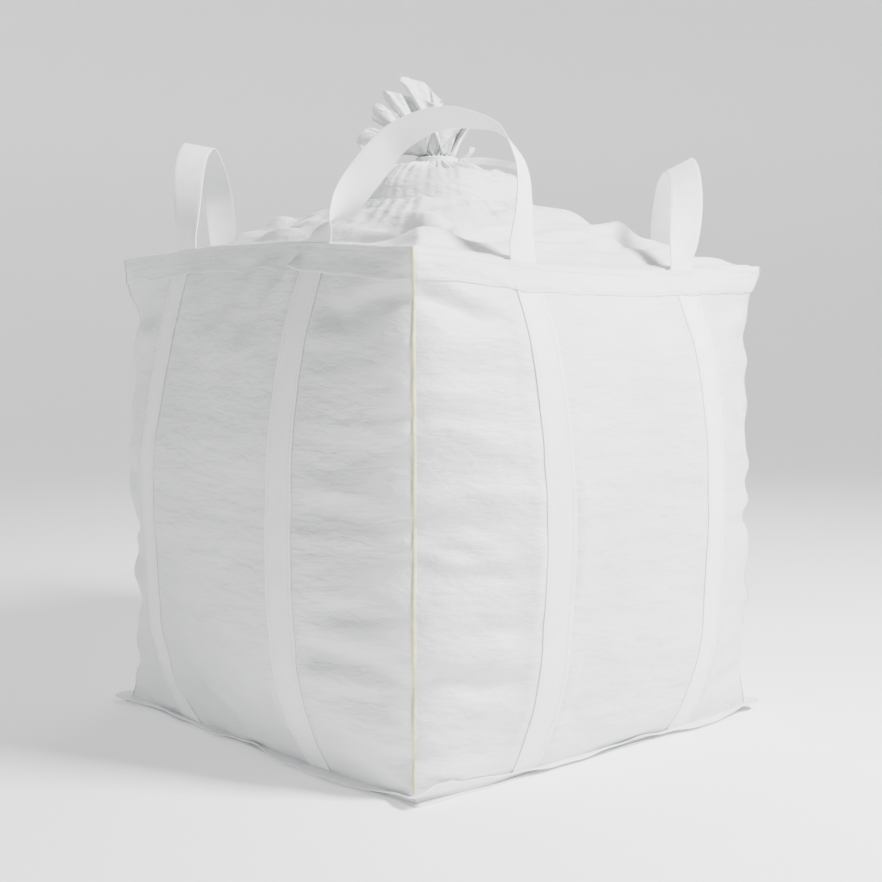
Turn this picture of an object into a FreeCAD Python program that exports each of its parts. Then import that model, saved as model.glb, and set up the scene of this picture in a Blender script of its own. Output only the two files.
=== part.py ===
import FreeCAD, Part
import math
import os
from FreeCAD import Vector

os.makedirs("parts", exist_ok=True)

# A filled flexible bulk bag.  Millimetres, +Z up, the origin under the middle of the base.
# The bag is a tube of woven cloth with a base panel, a top panel and a tied fill spout.
# Eight webbing legs run up its sides and join above the corners in four lifting loops,
# and four baffles across the corners inside keep it square when it is full.

# ---- the cloth and the webbing -------------------------------------------------------
CLOTH = 1.0            # thickness drawn for woven cloth
SEAM_GAP = 0.3         # air drawn between two sewn layers
WEB_WIDTH = 60.0       # lifting webbing
WEB_THICK = 2.2
STRIPE_WIDTH = 6.0     # coloured marker yarns up each corner
STRIPE_THICK = 0.4

# ---- the filled body -----------------------------------------------------------------
BASE_WIDTH = 900.0     # side of the square base and of the square rim
BODY_HEIGHT = 900.0    # base to rim
BELLY = 103.0          # how far the middle of a side stands out past its rim
STRAP_FROM_CORNER = 243.0    # rim corner to the middle of a webbing leg, along the side
HALF = BASE_WIDTH / 2
STRAP_POS = HALF - STRAP_FROM_CORNER

# Share of the height against share of the belly, from the base seam to the rim.
BELLY_PROFILE = ((0, 0), (0.06, 0.35), (0.15, 0.70), (0.30, 0.92), (0.50, 1.0),
                 (0.70, 0.79), (0.85, 0.54), (0.95, 0.20), (1.0, 0))

# A cross-section has sixteen sides, 22.5 degrees apart.  Its shape is given by how far
# three of them are from the axis: a face, the side next to it, and the corner.
RIM_SHAPE = (HALF, 1.275 * HALF, 1.37 * HALF)
BELLY_SHAPE = (HALF + BELLY, 1.31 * HALF, 1.366 * HALF)

# ---- seams, hem and top --------------------------------------------------------------
FLANGE_WIDTH = 35.0    # the base seam stands out this far all round
FLANGE_THICK = 2.5
HEM_HEIGHT = 55.0      # the folded hem round the rim
HEM_THICK = 1.5
TOP_BORDER = 30.0      # level border of the top panel, inside the rim
TOP_RISE = 0.12 * BASE_WIDTH       # rim to the spout opening
SPOUT_RADIUS = 0.205 * BASE_WIDTH  # fill spout where it is sewn to the top panel
SPOUT_SEAM_WIDTH = 18.0
SPOUT_SEAM_THICK = 1.5

# ---- the gathered neck, its tie and the crown above ----------------------------------
NECK_RADIUS = 38.0
NECK_RISE = 0.095 * BASE_WIDTH     # spout seam to the bottom of the neck
NECK_LENGTH = 18.0
TIE_THICK = 3.6
TIE_WIDTH = 12.0
TAIL_WIDTH = 14.0
TAIL_THICK = 1.6
TAIL_LENGTH = 105.0
KNOT_SIZE = 17.0
CROWN_HEIGHT = 156.0
CROWN_RADIUS = 88.0
CROWN_TIP = 0.5        # radius of the point that the crown tilts on

# ---- lifting loops -------------------------------------------------------------------
LOOP_HEIGHT = 250.0    # rim to the middle of the webbing at the top of a loop
LOOP_IN = 50.0         # degrees a loop leans in over the top
LOOP_OUT = 45.0        # degrees it leans out past the corner
LOOP_FOOT_GAP = 0.4
LOOP_STEPS = 24

# ---- baffles -------------------------------------------------------------------------
BAFFLE_FOOT = 16.0     # base to the lower edge of a baffle
BAFFLE_HEAD = 26.0     # upper edge of a baffle to the rim
FLOW_HOLE = 140.0
FLOW_HOLE_HEIGHTS = (0.22, 0.50, 0.78)

SIDES = 16
STEP = 2 * math.pi / SIDES
FAR = 4 * BASE_WIDTH
UP = Vector(0, 0, 1)
ORIGIN = Vector(0, 0, 0)


# ---- faceted shapes ------------------------------------------------------------------
def ring(shape, z, grow=0.0, centre=(0.0, 0.0)):
    """Sixteen corners of a level cross-section; every side is moved out by grow."""
    face, side, corner = shape
    reach = [face + grow, side + grow, corner + grow, side + grow] * (SIDES // 4)
    out = []
    for k in range(SIDES):
        a, b = k * STEP, (k + 1) * STEP
        p, q = reach[k], reach[(k + 1) % SIDES]
        x = (p * math.sin(b) - q * math.sin(a)) / math.sin(STEP)
        y = (q * math.cos(a) - p * math.cos(b)) / math.sin(STEP)
        out.append(Vector(x + centre[0], y + centre[1], z))
    return out


def face_of(points):
    return Part.Face(Part.makePolygon(list(points) + [points[0]]))


def bands(rings):
    """The side faces between each ring and the next."""
    out = []
    for low, high in zip(rings, rings[1:]):
        for k in range(SIDES):
            j = (k + 1) % SIDES
            out.append(face_of([low[k], low[j], high[j], high[k]]))
    return out


def closed(faces):
    """A solid from faces that meet edge to edge."""
    shell = Part.makeShell(faces)
    shell.sewShape()
    solid = Part.makeSolid(shell)
    if solid.Volume < 0:
        solid.reverse()
    return solid


def loaf(rings):
    """A solid block through the rings."""
    return closed(bands(rings) + [face_of(rings[0]), face_of(rings[-1])])


def sleeve(outer, inner, lid=False):
    """A wall between two stacks of rings, open at both ends or with a lid on the last."""
    faces = bands(outer) + bands(inner) + bands([outer[0], inner[0]])
    if lid:
        faces += [face_of(outer[-1]), face_of(inner[-1])]
    else:
        faces += bands([outer[-1], inner[-1]])
    return closed(faces)


def turned(shape, quarter):
    """A copy moved round to another corner."""
    out = shape.copy()
    out.rotate(ORIGIN, UP, 90 * quarter)
    return out


def slab(width, angle, offset=0.0):
    """A tall plate that runs out from the axis at an angle, moved sideways by offset."""
    box = Part.makeBox(FAR, width, FAR, Vector(0, offset - width / 2, -FAR / 2))
    box.rotate(ORIGIN, UP, angle)
    return box


# ---- the body's shape at a height ----------------------------------------------------
def belly_share(z):
    share = min(max(z / BODY_HEIGHT, 0), 1)
    for (za, na), (zb, nb) in zip(BELLY_PROFILE, BELLY_PROFILE[1:]):
        if share <= zb:
            return na + (nb - na) * (share - za) / (zb - za)
    return 0.0


def section(z):
    n = belly_share(z)
    return tuple(r + n * (b - r) for r, b in zip(RIM_SHAPE, BELLY_SHAPE))


def heights(low, high):
    """Every bend of the body's profile between two heights, and the two heights."""
    bends = [s * BODY_HEIGHT for s, _ in BELLY_PROFILE]
    return [low] + [z for z in bends if low < z < high] + [high]


def body_rings(low, high, grow):
    return [ring(section(z), z, grow) for z in heights(low, high)]


nodes = {}
CORNERS = ("front", "right", "back", "left")

# ---- body tube and base --------------------------------------------------------------
wall_foot = CLOTH + SEAM_GAP
nodes["body_tube"] = sleeve(body_rings(wall_foot, BODY_HEIGHT, 0),
                            body_rings(wall_foot, BODY_HEIGHT, -CLOTH))

flange_edge = ring(RIM_SHAPE, 0, FLANGE_WIDTH)
nodes["base_panel"] = loaf([flange_edge, ring(RIM_SHAPE, CLOTH, FLANGE_WIDTH)])

flange_top = wall_foot + FLANGE_THICK
flange_bore = section(flange_top)
nodes["base_seam_flange"] = sleeve(
    [ring(RIM_SHAPE, z, FLANGE_WIDTH) for z in (wall_foot, flange_top)],
    [ring(flange_bore, z, SEAM_GAP) for z in (wall_foot, flange_top)])

# ---- webbing legs, marker stripes and the rim hem --------------------------------------
web_in = SEAM_GAP
web_out = web_in + WEB_THICK
leg_foot = flange_top + SEAM_GAP
leg_wrap = sleeve(body_rings(leg_foot, BODY_HEIGHT, web_out),
                  body_rings(leg_foot, BODY_HEIGHT, web_in))
# On the face toward +X one leg belongs to the front corner and one to the right corner.
leg_low = leg_wrap.common(slab(WEB_WIDTH, 0, -STRAP_POS))
leg_high = leg_wrap.common(slab(WEB_WIDTH, 0, STRAP_POS))
for i, corner in enumerate(CORNERS):
    nodes["webbing_leg_%s_a" % corner] = turned(leg_high, i - 1)
    nodes["webbing_leg_%s_b" % corner] = turned(leg_low, i)

stripe_wrap = sleeve(body_rings(leg_foot, BODY_HEIGHT, SEAM_GAP + STRIPE_THICK),
                     body_rings(leg_foot, BODY_HEIGHT, SEAM_GAP))
stripe = stripe_wrap.common(slab(STRIPE_WIDTH, -45))
for i, corner in enumerate(CORNERS):
    nodes["corner_stripe_%s" % corner] = turned(stripe, i)

hem_in = web_out + SEAM_GAP
nodes["rim_hem"] = sleeve(
    body_rings(BODY_HEIGHT - HEM_HEIGHT, BODY_HEIGHT, hem_in + HEM_THICK),
    body_rings(BODY_HEIGHT - HEM_HEIGHT, BODY_HEIGHT, hem_in))

# ---- top panel -------------------------------------------------------------------------
spout_z = BODY_HEIGHT + TOP_RISE
border_z = BODY_HEIGHT - CLOTH
panel_edge = CLOTH + SEAM_GAP


def round_shape(radius):
    return (radius, radius, radius)


def top_rings(drop):
    """The top panel's surface, lowered by drop."""
    w = BASE_WIDTH
    return [ring(RIM_SHAPE, border_z - drop, -panel_edge),
            ring(RIM_SHAPE, border_z - drop, -TOP_BORDER),
            ring((0.40 * w, 0.472 * w, 0.50 * w), BODY_HEIGHT + TOP_RISE / 3 - drop),
            ring((0.33 * w, 0.38 * w, 0.40 * w), BODY_HEIGHT + TOP_RISE * 0.62 - drop),
            ring(round_shape(1.15 * SPOUT_RADIUS), spout_z - drop)]


opening = SPOUT_RADIUS - 5 * CLOTH
nodes["top_panel"] = sleeve(
    top_rings(0) + [ring(round_shape(opening), spout_z)],
    top_rings(CLOTH) + [ring(round_shape(opening), spout_z - CLOTH)])

# ---- fill spout, its seam, the gathered neck -------------------------------------------
skirt_foot = spout_z + SEAM_GAP
neck_z = spout_z + NECK_RISE
neck_top = neck_z + NECK_LENGTH
# Share of the rise to the neck against share of the spout's radius.
SKIRT = ((0.53, 0.93), (0.71, 0.84), (0.88, 0.40))
skirt_wall = 1.2 * CLOTH
outer = [ring(round_shape(SPOUT_RADIUS), skirt_foot)]
inner = [ring(round_shape(SPOUT_RADIUS - skirt_wall), skirt_foot)]
for rise, share in SKIRT:
    z, r = spout_z + rise * NECK_RISE, share * SPOUT_RADIUS
    outer.append(ring(round_shape(r), z))
    inner.append(ring(round_shape(r - skirt_wall), z - skirt_wall))
inner.append(ring(round_shape(NECK_RADIUS - skirt_wall), neck_z - skirt_wall))
outer += [ring(round_shape(NECK_RADIUS), z) for z in (neck_z, neck_top)]
nodes["fill_spout"] = sleeve(outer, inner, lid=True)

seam_in = SPOUT_RADIUS + SEAM_GAP
nodes["spout_seam"] = sleeve(
    [ring(round_shape(seam_in + SPOUT_SEAM_WIDTH), skirt_foot + h)
     for h in (0, SPOUT_SEAM_THICK)],
    [ring(round_shape(seam_in), skirt_foot + h) for h in (0, SPOUT_SEAM_THICK)])

# ---- spout tie: a tape wrapped round the neck, its knot and two tails --------------------
tie_low = neck_z + (NECK_LENGTH - TIE_WIDTH) / 2
tie_in = NECK_RADIUS + SEAM_GAP
tie_out = tie_in + TIE_THICK
nodes["spout_tie"] = sleeve(
    [ring(round_shape(tie_out), tie_low + h) for h in (0, TIE_WIDTH)],
    [ring(round_shape(tie_in), tie_low + h) for h in (0, TIE_WIDTH)])


def strip(points, thick, width):
    """A tape bent in an upright plane through the axis; points are (out, height)."""
    lower = [(r, z - thick) for r, z in points]
    outline = [Vector(r, -width / 2, z) for r, z in points + lower[::-1]]
    tape = face_of(outline).extrude(Vector(0, width, 0))
    tape.rotate(ORIGIN, UP, 45)
    return tape


knot_in = tie_out + SEAM_GAP
knot_mid = tie_low + TIE_WIDTH / 2
block = Part.makeBox(KNOT_SIZE, KNOT_SIZE, KNOT_SIZE * 0.8,
                     Vector(knot_in, -KNOT_SIZE / 2, knot_mid - KNOT_SIZE * 0.4))
block = block.makeChamfer(KNOT_SIZE * 0.2, [e for e in block.Edges
                          if e.CenterOfMass.x > knot_in + KNOT_SIZE * 0.9])
block.rotate(ORIGIN, UP, 45)
nodes["tie_knot"] = block

tail_in = knot_in + KNOT_SIZE + SEAM_GAP
nodes["tie_tail_long"] = strip(
    [(tail_in, knot_mid), (tail_in + TAIL_LENGTH * 0.3, knot_mid + 2),
     (tail_in + TAIL_LENGTH * 0.7, knot_mid - 1), (tail_in + TAIL_LENGTH, knot_mid - 8)],
    TAIL_THICK, TAIL_WIDTH)
tip = [(tail_in, knot_mid - TAIL_THICK - 2), (tail_in + 12, knot_mid - TAIL_THICK - 5),
       (tail_in + 26, knot_mid - TAIL_THICK - 13)]
nodes["tie_tail_short"] = strip(tip, TAIL_THICK, TAIL_WIDTH)

# ---- the crown of gathered cloth above the tie ---------------------------------------------
crown_foot = neck_top + 2 * SEAM_GAP
# Share of the crown's height, share of its radius, lean toward the left corner.
CROWN = ((0.0, CROWN_TIP / CROWN_RADIUS, 0.0), (0.20, 0.40, 14.0), (0.50, 1.0, 48.0),
         (0.76, 0.95, 52.0), (1.0, 0.50, 44.0))
lean = [(-s / math.sqrt(2), -s / math.sqrt(2)) for _, _, s in CROWN]
nodes["spout_crown"] = loaf([
    ring(round_shape(r * CROWN_RADIUS), crown_foot + h * CROWN_HEIGHT, 0, c)
    for (h, r, _), c in zip(CROWN, lean)])

# ---- lifting loops --------------------------------------------------------------------------
# The front loop stands over the corner between +X and -Y.  ACROSS runs from one foot to the
# other and OUTWARD points away from the axis.
ACROSS = Vector(1, 1, 0).normalize()
OUTWARD = Vector(1, -1, 0).normalize()
web_mid = HALF + web_in + WEB_THICK / 2
foot_a = Vector(STRAP_POS, -web_mid, BODY_HEIGHT)
foot_b = Vector(web_mid, -STRAP_POS, BODY_HEIGHT)
hinge = (foot_a + foot_b) * 0.5
half_span = foot_a.distanceToPoint(foot_b) / 2


def loop_path():
    """An arch that leaves both feet upright and rounds over at the top."""
    points = []
    for i in range(LOOP_STEPS + 1):
        turn = math.pi * i / LOOP_STEPS
        side = math.copysign(abs(math.cos(turn)) ** 0.8, -math.cos(turn))
        points.append(hinge + ACROSS * (side * half_span) +
                      UP * (LOOP_HEIGHT * math.sin(turn)))
    return points


def loop_band():
    """Webbing along the arch, flat to the sides at its feet and level at the top."""
    path = loop_path()
    corners = []
    for i, p in enumerate(path):
        tangent = path[min(i + 1, LOOP_STEPS)] - path[max(i - 1, 0)]
        if i in (0, LOOP_STEPS):
            tangent = UP if i == 0 else UP * -1
        tangent.normalize()
        twist = math.radians(90 * i / LOOP_STEPS - 45)
        width = ACROSS * math.sin(twist) - OUTWARD * math.cos(twist)
        width = (width - tangent * width.dot(tangent)).normalize()
        depth = tangent.cross(width)
        w, d = width * (WEB_WIDTH / 2), depth * (WEB_THICK / 2)
        corners.append([p + w + d, p - w + d, p - w - d, p + w - d])
    faces = [face_of(corners[0]), face_of(corners[-1])]
    for near, far in zip(corners, corners[1:]):
        for k in range(4):
            j = (k + 1) % 4
            faces.append(face_of([near[k], near[j], far[j]]))
            faces.append(face_of([near[k], far[j], far[k]]))
    return closed(faces)


def foot_trim():
    """What is cut from a loop's feet so that it can lean both ways without meeting the rim."""
    reach = WEB_WIDTH
    low = -WEB_WIDTH
    rise_in = reach * math.tan(math.radians(LOOP_IN + 1.5))
    rise_out = reach * math.tan(math.radians(LOOP_OUT + 1.5))
    outline = [(0, LOOP_FOOT_GAP), (-reach, LOOP_FOOT_GAP + rise_in), (-reach, low),
               (reach, low), (reach, LOOP_FOOT_GAP + rise_out)]
    start = hinge - ACROSS * BASE_WIDTH
    wedge = face_of([start + OUTWARD * u + UP * h for u, h in outline])
    return wedge.extrude(ACROSS * (2 * BASE_WIDTH))


loop = loop_band().cut(foot_trim())
for i, corner in enumerate(CORNERS):
    nodes["lifting_loop_%s" % corner] = turned(loop, i)

# ---- baffles and contents ---------------------------------------------------------------------


def baffle_line(z):
    """How far a baffle is from the axis where it joins the two webbing lines."""
    return (section(z)[0] + STRAP_POS) / math.sqrt(2)


def baffle_plate(side_gap, end_gap, hole):
    """A perforated panel across the front corner, before it is cut to the body's width."""
    low, high = BAFFLE_FOOT - end_gap, BODY_HEIGHT - BAFFLE_HEAD + end_gap
    zs = heights(low, high)
    near = [(baffle_line(z) - CLOTH / 2 - side_gap, z) for z in zs]
    far = [(baffle_line(z) + CLOTH / 2 + side_gap, z) for z in zs]
    start = ACROSS * -BASE_WIDTH
    outline = [start + OUTWARD * r + UP * z for r, z in near + far[::-1]]
    plate = face_of(outline).extrude(ACROSS * (2 * BASE_WIDTH))
    for share in FLOW_HOLE_HEIGHTS:
        plate = plate.cut(Part.makeCylinder(hole / 2, FAR, UP * (share * BODY_HEIGHT), OUTWARD))
    return plate


lining = loaf(body_rings(wall_foot, BODY_HEIGHT, -CLOTH - SEAM_GAP))
baffle = baffle_plate(0, 0, FLOW_HOLE).common(lining)
for i, corner in enumerate(CORNERS):
    nodes["corner_baffle_%s" % corner] = turned(baffle, i)

fill_foot = wall_foot
fill_rings = body_rings(fill_foot, border_z - CLOTH - SEAM_GAP, -CLOTH - 2 * SEAM_GAP)
fill_rings += top_rings(CLOTH + SEAM_GAP)[1:]
heap = spout_z - CLOTH - SEAM_GAP
fill_rings += [ring(round_shape(opening - 4 * CLOTH), heap),
               ring(round_shape(0.45 * SPOUT_RADIUS), heap + 0.30 * NECK_RISE)]
contents = loaf(fill_rings)
slot = baffle_plate(SEAM_GAP, SEAM_GAP, FLOW_HOLE - 2 * SEAM_GAP)
for i in range(4):
    contents = contents.cut(turned(slot, i))
nodes["bulk_contents"] = contents

# ---- one file for each piece -------------------------------------------------------------------
for name, shape in nodes.items():
    if len(shape.Solids) == 1:
        shape = shape.Solids[0]
    print("%-24s solids %d  valid %s  volume %.0f" % (
        name, len(shape.Solids), shape.isValid(), shape.Volume))
    shape.exportStep("parts/%s.step" % name)
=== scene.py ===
# %% [markdown]
# # A filled bulk bag
# The bag is a tube of coated woven cloth that stands because it is full.  Everything sewn to
# it, such as webbing, hem and seams, follows the cloth.  So the cloth's surface is made first,
# as one grid of points, and every other piece is laid on that grid.
#
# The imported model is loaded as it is, in metres, and is not changed.

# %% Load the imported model
import bpy
import math
import numpy as np
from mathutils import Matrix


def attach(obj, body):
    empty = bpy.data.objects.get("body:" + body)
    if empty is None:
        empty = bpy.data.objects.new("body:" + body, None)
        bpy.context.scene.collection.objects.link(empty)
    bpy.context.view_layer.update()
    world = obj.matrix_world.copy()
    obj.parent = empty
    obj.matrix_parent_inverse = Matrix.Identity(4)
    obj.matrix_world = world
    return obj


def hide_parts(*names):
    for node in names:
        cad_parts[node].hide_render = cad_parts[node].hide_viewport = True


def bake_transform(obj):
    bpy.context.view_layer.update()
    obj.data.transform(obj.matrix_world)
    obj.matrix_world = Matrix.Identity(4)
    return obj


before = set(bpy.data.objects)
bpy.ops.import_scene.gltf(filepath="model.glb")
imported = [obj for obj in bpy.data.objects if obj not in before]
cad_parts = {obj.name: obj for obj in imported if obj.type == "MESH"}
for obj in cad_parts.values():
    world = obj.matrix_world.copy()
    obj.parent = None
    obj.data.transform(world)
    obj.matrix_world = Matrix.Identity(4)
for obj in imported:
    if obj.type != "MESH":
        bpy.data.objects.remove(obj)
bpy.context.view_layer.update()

# %% [markdown]
# ## Where the camera stands
# The bag is seen from just below its rim, almost square to its front corner, with a slightly
# long lens.  The camera looks a little down instead of using a shifted lens, so that the other
# views stay centred.

# %% Camera
CAMERA_AWAY, CAMERA_UP, TURN, LENS = 2.907, 0.777, math.radians(48.4), 58.7
camera_data = bpy.data.cameras.new("camera")
camera_data.lens, camera_data.sensor_width = LENS, 36.0
camera = bpy.data.objects.new("camera", camera_data)
camera.location = (math.sin(TURN) * CAMERA_AWAY, -math.cos(TURN) * CAMERA_AWAY, CAMERA_UP)
camera.rotation_euler = (math.radians(90 - 4.6), 0, TURN - math.radians(0.15))
bpy.context.scene.collection.objects.link(camera)
bpy.context.scene.camera = camera

# %% [markdown]
# ## Sizes that every piece shares
# A place on the cloth is given as it lies flat on the cutting table: `s` runs once round the
# tube from the front corner, and `z` runs up from the base.  Each side is 0.9 m of `s`.

# %% Shared sizes
SIDE, HEIGHT = 0.9, 0.9
GIRTH = 4 * SIDE
WEB_AT = 0.243          # corner to the middle of a webbing leg
WEB_WIDE = 0.060
BELLY = 0.103
RNG = np.random.default_rng(7)


def smoothstep(x):
    """3x^2 - 2x^3, held between 0 and 1."""
    x = np.clip(x, 0, 1)
    return x * x * (3 - 2 * x)


def blur(a, sigma, axis, wrap):
    """A running average with bell-shaped weights along one axis; sigma is in cells."""
    n = int(3 * sigma) + 1
    k = np.exp(-0.5 * (np.arange(-n, n + 1) / sigma) ** 2)
    k /= k.sum()
    a = np.moveaxis(a, axis, 0)
    pad = np.concatenate([a[-n:], a, a[:n]]) if wrap else np.concatenate(
        [np.repeat(a[:1], n, 0), a, np.repeat(a[-1:], n, 0)])
    out = sum(w * pad[i:i + len(a)] for i, w in enumerate(k))
    return np.moveaxis(out, 0, axis)


def rough_field(rows, cols, wave_rows, wave_cols, seed):
    """Smooth random heights: white noise, keeping waves near the given lengths in cells."""
    noise = np.random.default_rng(seed).standard_normal((rows * 2, cols))
    fr = np.fft.fftfreq(rows * 2)[:, None] * wave_rows
    fc = np.fft.fftfreq(cols)[None, :] * wave_cols
    keep = np.exp(-((np.hypot(fr, fc) - 1) ** 2) * 2.2)
    field = np.fft.ifft2(np.fft.fft2(noise) * keep).real[:rows]
    return field / field.std()


# %% [markdown]
# ## From a grid of points to a mesh
# Every new piece is a surface with two parameters.  `surface` turns its rows and columns of
# points into faces and keeps the two parameters, in metres of cloth, as the UV map, so that a
# weave can follow the cloth round every fold.

# %% Mesh helpers


def surface(name, points, uv, wrap=False, flip=False, smooth=True):
    """Rows by columns of points, joined to their neighbours by four-sided faces."""
    rows, cols = points.shape[:2]
    count = cols if wrap else cols - 1
    r, c = np.meshgrid(np.arange(rows - 1), np.arange(count), indexing="ij")
    c2 = (c + 1) % cols
    quads = np.stack([r * cols + c, r * cols + c2, (r + 1) * cols + c2, (r + 1) * cols + c], -1)
    uvs = np.stack([uv[r, c], uv[r, c + 1], uv[r + 1, c + 1], uv[r + 1, c]], -2)
    quads, uvs = quads.reshape(-1, 4), uvs.reshape(-1, 4, 2)
    if flip:
        quads, uvs = quads[:, ::-1], uvs[:, ::-1]
    return mesh_object(name, points.reshape(-1, 3), quads, uvs.reshape(-1, 2), smooth)


def mesh_object(name, points, faces, uvs=None, smooth=True):
    mesh = bpy.data.meshes.new(name)
    mesh.from_pydata(np.asarray(points, float).tolist(), [], np.asarray(faces).tolist())
    mesh.polygons.foreach_set("use_smooth", [smooth] * len(mesh.polygons))
    if uvs is not None:
        layer = mesh.uv_layers.new(name="cloth")
        layer.data.foreach_set("uv", np.asarray(uvs, np.float32).ravel())
    mesh.update()
    piece = bpy.data.objects.new(name, mesh)
    bpy.context.scene.collection.objects.link(piece)
    return piece


def uv_grid(us, vs):
    """The two parameters of each point, us along a row and vs up the rows."""
    u, v = np.meshgrid(us, vs)
    return np.stack([u, v], -1)


def wall(piece, thick, offset=-1):
    """Gives a sheet a real thickness, inward from its outer face."""
    mod = piece.modifiers.new("thickness", "SOLIDIFY")
    mod.thickness, mod.offset, mod.use_even_offset = thick, offset, False
    return piece


def unit(v):
    return v / np.maximum(np.linalg.norm(v, axis=-1, keepdims=True), 1e-9)


def grid_normals(p, wrap):
    """Cross product of the two directions of a grid, pointing out of the bag."""
    if wrap:
        du = np.roll(p, -1, 1) - np.roll(p, 1, 1)
    else:
        du = np.gradient(p, axis=1)
    return unit(np.cross(du, np.gradient(p, axis=0)))


# %% [markdown]
# ## The shape the contents press the cloth into
# Between the two webbing lines of a side the baffles hold the cloth nearly flat, and it stands
# out by the belly.  From a webbing line to the corner it falls back again, in a soft curve, and
# the corner itself stays where the base and the rim hold it.

# %% The filled shape
PROFILE_Z = np.array([0, .03, .06, .14, .23, .35, .5, .62, .69, .76, .83, .90, .97, 1.0])
PROFILE_N = np.array([0, .22, .37, .68, .88, .96, 1.0, .93, .84, .74, .59, .37, .10, 0])
z_fine = np.linspace(0, 1, 201)
n_fine = blur(np.interp(z_fine, PROFILE_Z, PROFILE_N), 4, 0, False)
n_fine = (n_fine - n_fine[0]) * (1 - z_fine) + (n_fine - n_fine[-1]) * z_fine


def filled_shape(s, z):
    """Point of the full bag at cut place s, z.  Side position t = |y| / half a side; the cloth
    stands out by belly * n(z) * B(t), B near 1 up to the webbing and close to 0 at the corner."""
    side = np.floor(s / SIDE).astype(int)
    y = s - side * SIDE - SIDE / 2
    t = np.abs(y) / (SIDE / 2)
    web_t = 1 - WEB_AT / (SIDE / 2)
    q = np.clip((t - web_t) / (1 - web_t), 0, 1)
    out = np.where(t < web_t, 1 + 0.05 * (1 - (t / web_t) ** 2), 1 - 1.02 * q ** 1.25)
    n = np.interp(z / HEIGHT, z_fine, n_fine)
    x = SIDE / 2 + BELLY * n * out
    y = y - np.sign(y) * 0.02 * BELLY * n * q ** 1.25
    turn = side * math.pi / 2
    # Side 0 faces +X and starts at the front corner, between +X and -Y.
    return np.stack([x * np.cos(turn) - y * np.sin(turn),
                     x * np.sin(turn) + y * np.cos(turn), z + 0 * s], -1)


COLS, ROWS = 240, 93
cut_s = np.arange(COLS) / COLS * GIRTH
cut_z = np.linspace(0, HEIGHT, ROWS)
S, Z = np.meshgrid(cut_s, cut_z)
loft = filled_shape(S, Z)
belly_n = np.interp(Z / HEIGHT, z_fine, n_fine)[..., None]
rounded = blur(loft, 3.0, 1, True)
loft = loft + (rounded - loft) * np.clip(0.30 + 1.6 * belly_n, 0, 1)
loft[..., 2] = Z
print("filled shape", loft.shape, "widest", round(float(np.ptp(loft[..., 0])), 3))

# %% [markdown]
# ## Loose cloth at the corners
# Every strip of the tube is cut to the same length, but the corner's path from base to rim is
# shorter than the side's, so the corner has cloth to spare and it crumples across.  A cloth
# simulation finds those folds: the rest length is the cut length, the contents push outward,
# and the base seam, the rim and the webbing lines are held.

# %% Corner folds
side_y = np.abs(S - np.floor(S / SIDE) * SIDE - SIDE / 2)
from_corner = SIDE / 2 - side_y
slack = smoothstep((WEB_AT - 0.012 - from_corner) / 0.10)
CUT_HEIGHT = 0.955


def hold_weights():
    """1 where the cloth is sewn to something that can't give, 0 where it is loose."""
    ends = np.maximum(smoothstep((0.03 - Z) / 0.03), smoothstep((Z - HEIGHT + 0.045) / 0.04))
    web = smoothstep((0.036 - np.abs(from_corner - WEB_AT)) / 0.016)
    return np.clip(np.maximum(ends, web), 0, 1)


def run_cloth(start):
    """Blender's cloth solver on the tube, with the cut pattern as its rest shape."""
    cloth = surface("cloth_trial", start, uv_grid(np.append(cut_s, GIRTH), cut_z), wrap=True)
    keys = cloth.shape_key_add(name="Basis")
    rest = cloth.shape_key_add(name="cut")
    pattern = filled_shape(S, Z * 0) * np.array([1.02, 1.02, 1.0])
    pattern[..., 2] = Z * CUT_HEIGHT / HEIGHT
    rest.data.foreach_set("co", pattern.astype(np.float32).ravel())
    held = cloth.vertex_groups.new(name="held")
    weights = hold_weights().ravel()
    for level in np.unique(np.round(weights, 2)):
        if level > 0:
            held.add(np.nonzero(np.round(weights, 2) == level)[0].tolist(), float(level), "REPLACE")
    inner = start - 0.004 * grid_normals(start, True)
    block = surface("contents_trial", inner, uv_grid(np.append(cut_s, GIRTH), cut_z), wrap=True)
    block.modifiers.new("hard", "COLLISION")
    block.collision.thickness_outer = 0.002
    mod = cloth.modifiers.new("cloth", "CLOTH")
    st = mod.settings
    st.quality, st.mass, st.air_damping = 6, 0.25, 4.0
    st.tension_stiffness, st.compression_stiffness, st.shear_stiffness = 60, 60, 20
    st.bending_stiffness, st.bending_damping = 3.0, 1.0
    st.tension_damping, st.compression_damping, st.shear_damping = 10, 10, 10
    st.vertex_group_mass, st.pin_stiffness = "held", 4.0
    st.rest_shape_key = rest
    st.use_pressure, st.uniform_pressure_force = True, 1.6
    st.effector_weights.gravity = 0
    mod.collision_settings.distance_min = 0.003
    mod.collision_settings.use_self_collision = False
    mod.point_cache.frame_start, mod.point_cache.frame_end = 1, 24
    scene = bpy.context.scene
    for f in range(1, 25):
        scene.frame_set(f)
    solved = cloth.evaluated_get(bpy.context.evaluated_depsgraph_get()).to_mesh()
    out = np.empty(len(solved.vertices) * 3, np.float32)
    solved.vertices.foreach_get("co", out)
    scene.frame_set(1)
    for o in (cloth, block):
        bpy.data.objects.remove(o, do_unlink=True)
    return out.reshape(start.shape).astype(float)


seed_waves = rough_field(ROWS, COLS, 9, 26, 3)
nudged = loft + (0.0035 * seed_waves * slack)[..., None] * grid_normals(loft, True)
body = run_cloth(nudged)
moved = np.linalg.norm(body - loft, axis=-1)
print("cloth moved at most %.1f mm, mean %.1f mm" % (1000 * moved.max(), 1000 * moved.mean()))

# %% [markdown]
# ## Reading the cloth between grid points
# Webbing, hem, stripes and stitches all need exact places on the cloth.  `on_cloth` reads the
# solved grid with a smooth cubic curve through its points, adds the larger folds that hang from
# the loops and run in from the corners, and can lift the point off the cloth along its normal.

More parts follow.
